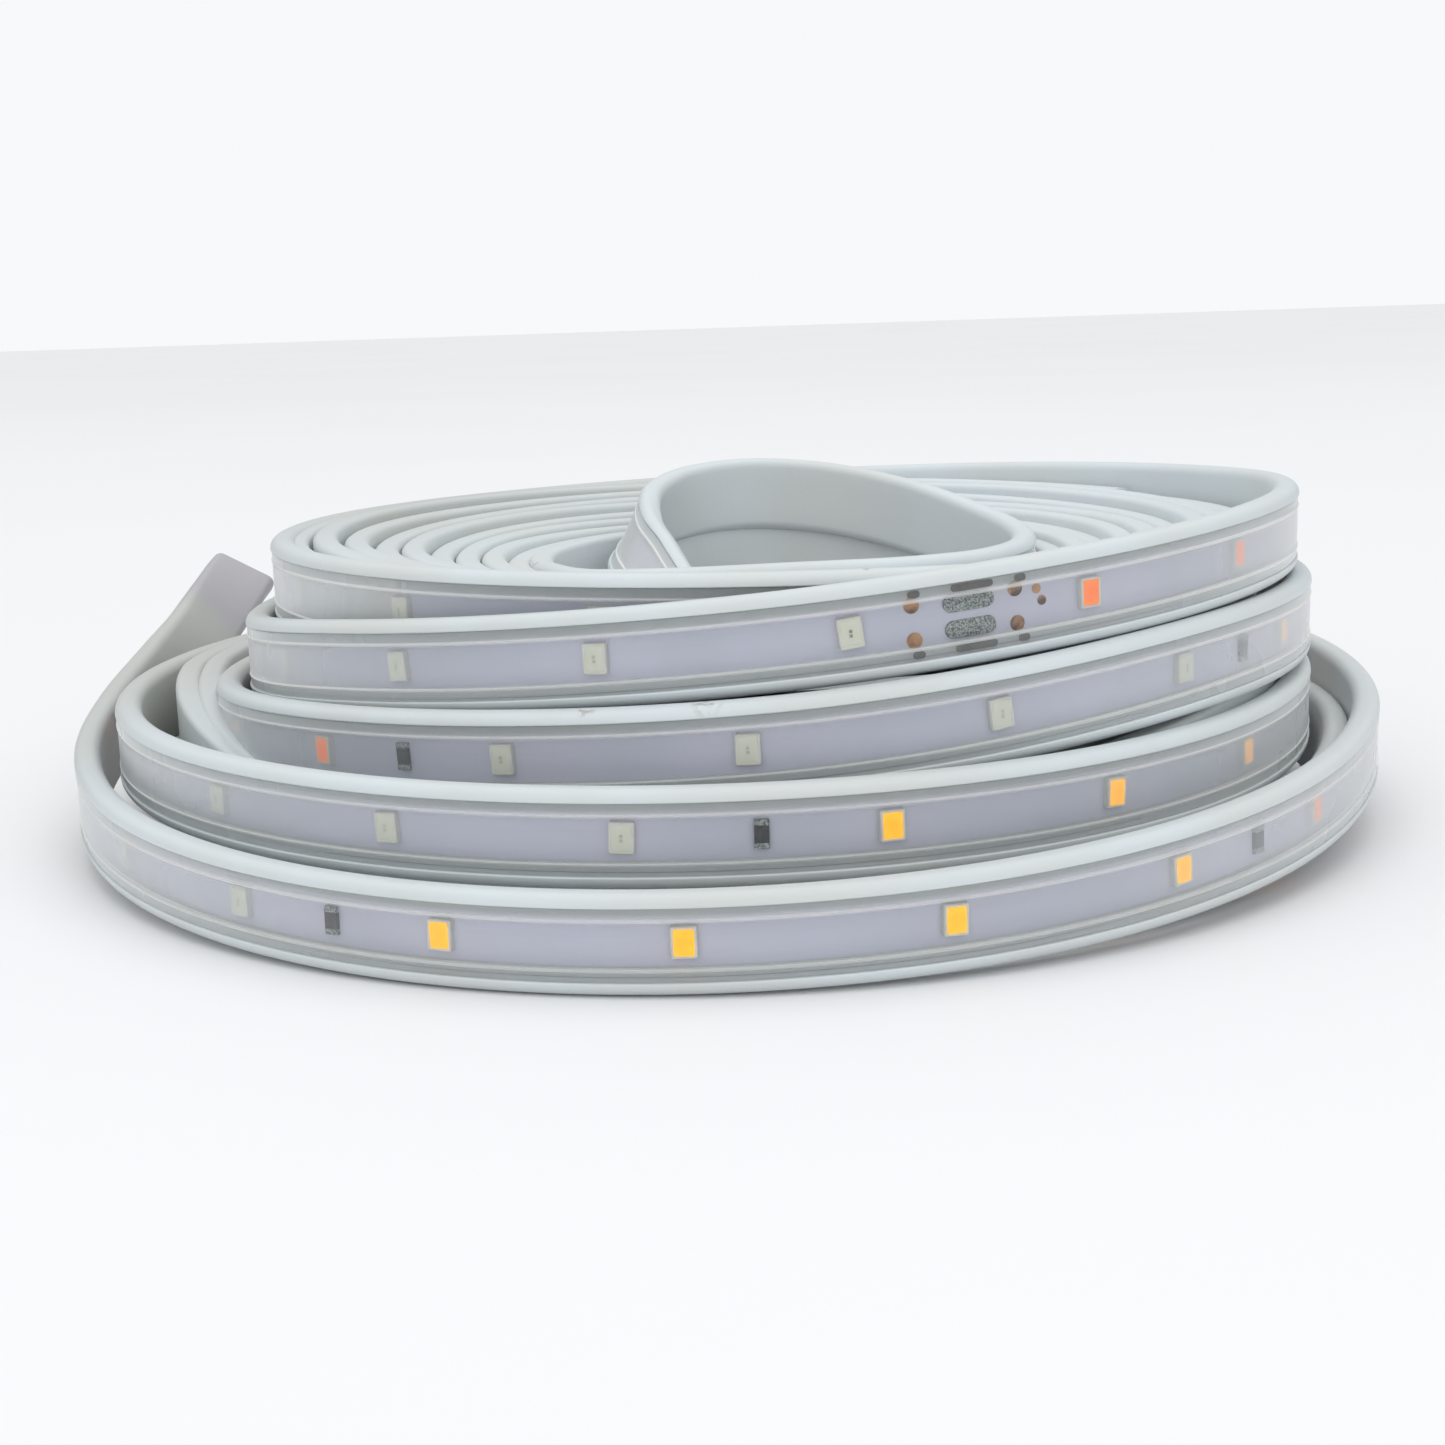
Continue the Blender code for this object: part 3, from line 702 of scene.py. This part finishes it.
# Small pieces on the tape: size along and across, then its levels as rows of inset along, inset
# across, height and corner radius
tapeBlocks = {
    "lampBody": (2.8, 3.5, [(0, 0, 0, 0.22), (0, 0, 0.68, 0.22), (0.1, 0.1, 0.8, 0.22),
                            (0.26, 0.26, 0.8, 0.22), (0.34, 0.34, 0.72, 0.22)]),
    "lampFace": (2.8, 3.5, [(0.32, 0.32, 0.67, 0.22), (0.32, 0.32, 0.77, 0.22), (0.47, 0.47, 0.82, 0.22),
                            (0.92, 1.02, 0.85, 0.15)]),
    "chip": (0.4, 0.4, [(0, 0, 0.78, 0.12), (0, 0, 0.87, 0.12)]),
    "resistor": (1.6, 1.9, [(0, 0, 0, 0.1), (0, 0, 0.54, 0.1), (0.08, 0.06, 0.6, 0.1)]),
    "resistorEnd": (1.66, 0.65, [(0, 0, 0, 0.1), (0, 0, 0.55, 0.1), (0.08, 0.06, 0.62, 0.1)]),
    "pad": (6.1, 2.0, [(0, 0, 0, 1.0), (0.06, 0.06, 0.192, 0.94), (0.45, 0.45, 0.32, 0.55)]),
    "dot": (1.8, 1.8, [(0, 0, 0, 0.9), (0, 0, 0.06, 0.9), (0.12, 0.12, 0.1, 0.78)]),
    "ring": (1.116, 1.116, [(0, 0, 0, 0.558), (0, 0, 0.08, 0.558)]),
    # the next two are painted reflections: dark blocks for the mirrored images of the pads and dots, high up
    # beside the window
    "padReflection": (5.002, 0.8, [(0, 0, 1.4, 0.4), (0.061, 0, 1.5, 0.4)]),
    "dotReflection": (1.44, 0.8, [(0, 0, 1.4, 0.4), (0.045, 0, 1.5, 0.4)]),
}
# where they sit: distances across from the tape's middle, and along from the middle of a joint
lamp = {"skew": 0.05, "chipsAt": (0.24, -0.26), "resistorEndAt": 1.275}
joint = {
    "padAt": 1.45, "dotAt": 1.95, "dotsAlong": (-6.6, 5.7), "reflectionAt": 3.35,
    "ringsAlong": (8.4, 9.0), "ringsAt": (1.5, 0.1),
}


def lampPieces(tag, path, found, nodes):
    def lay(name, shape, finish, places, acrosses, skew=0.0):
        # one piece for all the blocks of a kind; acrosses is repeated over them
        if len(places):
            length, width, rows = tapeBlocks[shape]
            levels = [(length / 2 - inX, width / 2 - inY, height, corner)
                      for inX, inY, height, corner in rows]
            blocks(name + tag, path, places, np.resize(acrosses, len(places)), levels, finishes[finish],
                   nodes, skew)

    every = sorted(found["amber"] + found["orange"] + found["cream"])
    lay("lamp_bodies", "lampBody", "lampBody", every, [0.0], lamp["skew"])
    for colour in lampRun["colours"]:
        lay(colour + "_lamps", "lampFace", colour, found[colour], [0.0], lamp["skew"])
    # the chip that shows through a cream lamp, in two halves, dark beside a joint and faint elsewhere
    beside = [any(abs(s - j) < strip["lampPitch"] for j in found["joint"]) for s in found["cream"]]
    for name, wanted in (("chip", True), ("faintChip", False)):
        chosen = [s for s, near in zip(found["cream"], beside) if near == wanted]
        lay(name, "chip", name, np.repeat(chosen, 2), lamp["chipsAt"])
    ends = lamp["resistorEndAt"]
    lay("resistors", "resistor", "resistor", found["resistor"], [0.0])
    lay("resistor_ends", "resistorEnd", "solder", np.repeat(found["resistor"], 2), [ends, -ends])
    # soldered joints, with painted reflections of the pads and dots: dark blocks in the clear strips beside
    # the window
    middles = np.array(found["joint"])
    pads, at, dotAt, reflectionAt = np.repeat(middles, 2), joint["padAt"], joint["dotAt"], joint["reflectionAt"]
    dots = np.repeat(np.concatenate([middles + along for along in joint["dotsAlong"]]), 2)
    rings = np.concatenate([middles + along for along in joint["ringsAlong"]])
    lay("solder_pads", "pad", "solder", pads, [at, -at])
    lay("copper_dots", "dot", "copper", dots, [dotAt, -dotAt])
    lay("copper_ring", "ring", "copper", rings, np.repeat(joint["ringsAt"], len(middles)))
    lay("pad_images", "padReflection", "paintedReflection", pads, [reflectionAt, -reflectionAt])
    lay("dot_images", "dotReflection", "paintedReflection", dots, [reflectionAt, -reflectionAt])


def stripPieces(tag, path, sleeveNode, coverNode, tapeNode, found):
    # sleeve, clear front and tape of one stretch, with its lamps
    ribbon("sleeve" + tag, [path], sleeveSection(), finishes["sleeve"], [sleeveNode])
    ribbon("clear_front" + tag, [path], coverSection(), finishes["cover"], [coverNode])
    ribbon("tape" + tag, [path], tapeSection(), finishes["tape"], [tapeNode])
    lampPieces(tag, path, found, [tapeNode])


outer, inner, nest = outerPath(), innerPath(), nestPath()
print("routes", round(outer["s"][-1]), round(inner["s"][-1]), round(nest["s"][-1]), "mm")

finishes = {
    "sleeve": sleeveFinish("soft white sleeve", outer),
    "cover": coverFinish(),
    "tape": tapeFinish(),
    "lampBody": plainFinish("lamp body", (0.76, 0.76, 0.67), (0.81, 0.81, 0.74), 700.0, 0.45),
    # the last number of each lamp is the strength of a painted glow; the lamps are unlit
    "amber": lampFinish("amber lamp", (1.0, 0.38, 0.0), (1.0, 0.47, 0.01), 0.72),
    "orange": lampFinish("pink-orange lamp", (1.0, 0.17, 0.01), (1.0, 0.26, 0.04), 0.36),
    "cream": lampFinish("cream lamp", (0.68, 0.71, 0.58), (0.74, 0.76, 0.65), 0.07),
    "chip": plainFinish("lamp chip", (0.26, 0.27, 0.24), (0.40, 0.42, 0.37), 2500.0, 0.4),
    "faintChip": plainFinish("faint lamp chip", (0.52, 0.54, 0.45), (0.63, 0.65, 0.56), 2500.0, 0.4),
    "resistor": plainFinish("resistor body", (0.012, 0.014, 0.016), (0.035, 0.04, 0.045), 1500.0, 0.4),
    "solder": plainFinish("tinned solder", (0.10, 0.12, 0.115), (0.46, 0.50, 0.48), 4600.0, 0.45, 0.7),
    "copper": plainFinish("bare copper", (0.09, 0.04, 0.022), (0.56, 0.29, 0.13), 420.0, 0.45),
    # painted reflection: near-black blocks for the mirrored images of pads and dots
    "paintedReflection": plainFinish("painted reflection", (0.014, 0.011, 0.009), (0.05, 0.038, 0.03), 900.0, 0.6),
}

stripPieces("", outer, "white_channel", "clear_window", "circuit_tape", lampPlaces(outer))
print("outer turns")
# the free inner end shows no lamps where it twists, so its run of lamps stops before that
innerLamps = {"start": 14.0, "endMargin": 62.0}
stripPieces("_inner", inner, "white_channel_inner", "clear_window_inner", "circuit_tape_inner",
            evenPlaces(innerLamps["start"], inner["s"][-1] - innerLamps["endMargin"]))
print("inner end")


def plainTurns(name, paths, station):
    ribbon(name, paths, solidSection(), finishes["sleeve"], ["wound_core"], station)


plainTurns("nest_turns", [nest], nestLay["station"])
plainTurns("lower_turns", [rowsPath(middleRows, 1.0), rowsPath(bottomRows, 1.0)], nestLay["lowerStation"])
plainTurns("tucked_turns", [tuckedPath(outer, *turn) for turn in tucked["turns"]] + [rightPath(outer)],
           nestLay["tuckedStation"])
floorRun, floorMargin = rowsPath(floorRows, 1.0), 12.0
stripPieces("_floor", floorRun, "wound_core", "wound_core", "wound_core",
            evenPlaces(floorMargin, floorRun["s"][-1] - floorMargin))
print("nest and lower turns")

# Floor, light and camera, in metres. The floor lies a hair below the coil; the air is darker low down
# and grows lighter by its rise, and the camera sees it at its own even strength
stage = {
    "floor": 12.0, "below": 0.0001, "tone": (0.90, 0.90, 0.905), "paler": (0.92, 0.92, 0.925), "seen": 0.96,
    "low": 0.22, "rise": 1.1, "air": (0.97, 0.985, 1.0), "aim": (0, 0, 0.02),
}
floorMesh = bpy.data.meshes.new("floor")
reach = stage["floor"] / 2
floorMesh.from_pydata([(-reach, -reach, 0), (reach, -reach, 0), (reach, reach, 0), (-reach, reach, 0)],
                      [], [(0, 1, 2, 3)])
floorPlane = bpy.data.objects.new("floor", floorMesh)
bpy.context.scene.collection.objects.link(floorPlane)
floorPlane.location.z = cadBox[0][2] - stage["below"]
floorLook = Finish("pale floor")
floorTone = floorLook.noise(floorLook.places(), 3.0).between(0.2, 0.8)
floorMesh.materials.append(floorLook.set(
    Base_Color=floorLook.mix(floorTone, stage["tone"], stage["paler"]), Roughness=0.7))

world = bpy.data.worlds.new("studio air")
bpy.context.scene.world = world
sky = Finish("studio air", world)
height = sky.node("ShaderNodeSeparateXYZ", sockets={0: sky.node("ShaderNodeTexCoord", out=0)}, out=2)
glow = height.math("MAXIMUM", 0.0) * stage["rise"] + stage["low"]
direct = sky.node("ShaderNodeLightPath", out=0)
sky.set(Color=stage["air"], Strength=glow * (1 - direct) + direct * stage["seen"])

# name, place in metres, size, power in watts, tint
lights = [
    ("overhead", (0.0, 0.15, 1.3), 1.2, 1.6, (1.0, 1.0, 1.0)),
    ("front left", (-0.6, -1.4, 0.5), 0.9, 2.15, (0.97, 0.98, 1.0)),
    ("front right", (1.0, -1.1, 0.5), 0.9, 1.9, (0.97, 0.98, 1.0)),
]
for name, place, size, power, tint in lights:
    light = bpy.data.lights.new(name, "AREA")
    light.size, light.energy, light.color = size, power, tint
    holder = bpy.data.objects.new(name, light)
    bpy.context.scene.collection.objects.link(holder)
    holder.location = place
    holder.rotation_euler = (Vector(stage["aim"]) - Vector(place)).to_track_quat("-Z", "Y").to_euler()

view = {"place": (0.00026, -0.28878, 0.0698), "lens": 51.12, "down": 11.52, "roll": -1.9}
camera = bpy.data.cameras.new("camera")
camera.lens, camera.sensor_width, camera.clip_start = view["lens"], 36.0, 0.01
cameraHolder = bpy.data.objects.new("camera", camera)
bpy.context.scene.collection.objects.link(cameraHolder)
cameraHolder.matrix_world = (Matrix.Translation(view["place"])
                             @ Matrix.Rotation(math.radians(90 - view["down"]), 4, "X")
                             @ Matrix.Rotation(math.radians(view["roll"]), 4, "Z"))
bpy.context.scene.camera = cameraHolder
bpy.context.scene.view_settings.view_transform = "Standard"
print("stage")
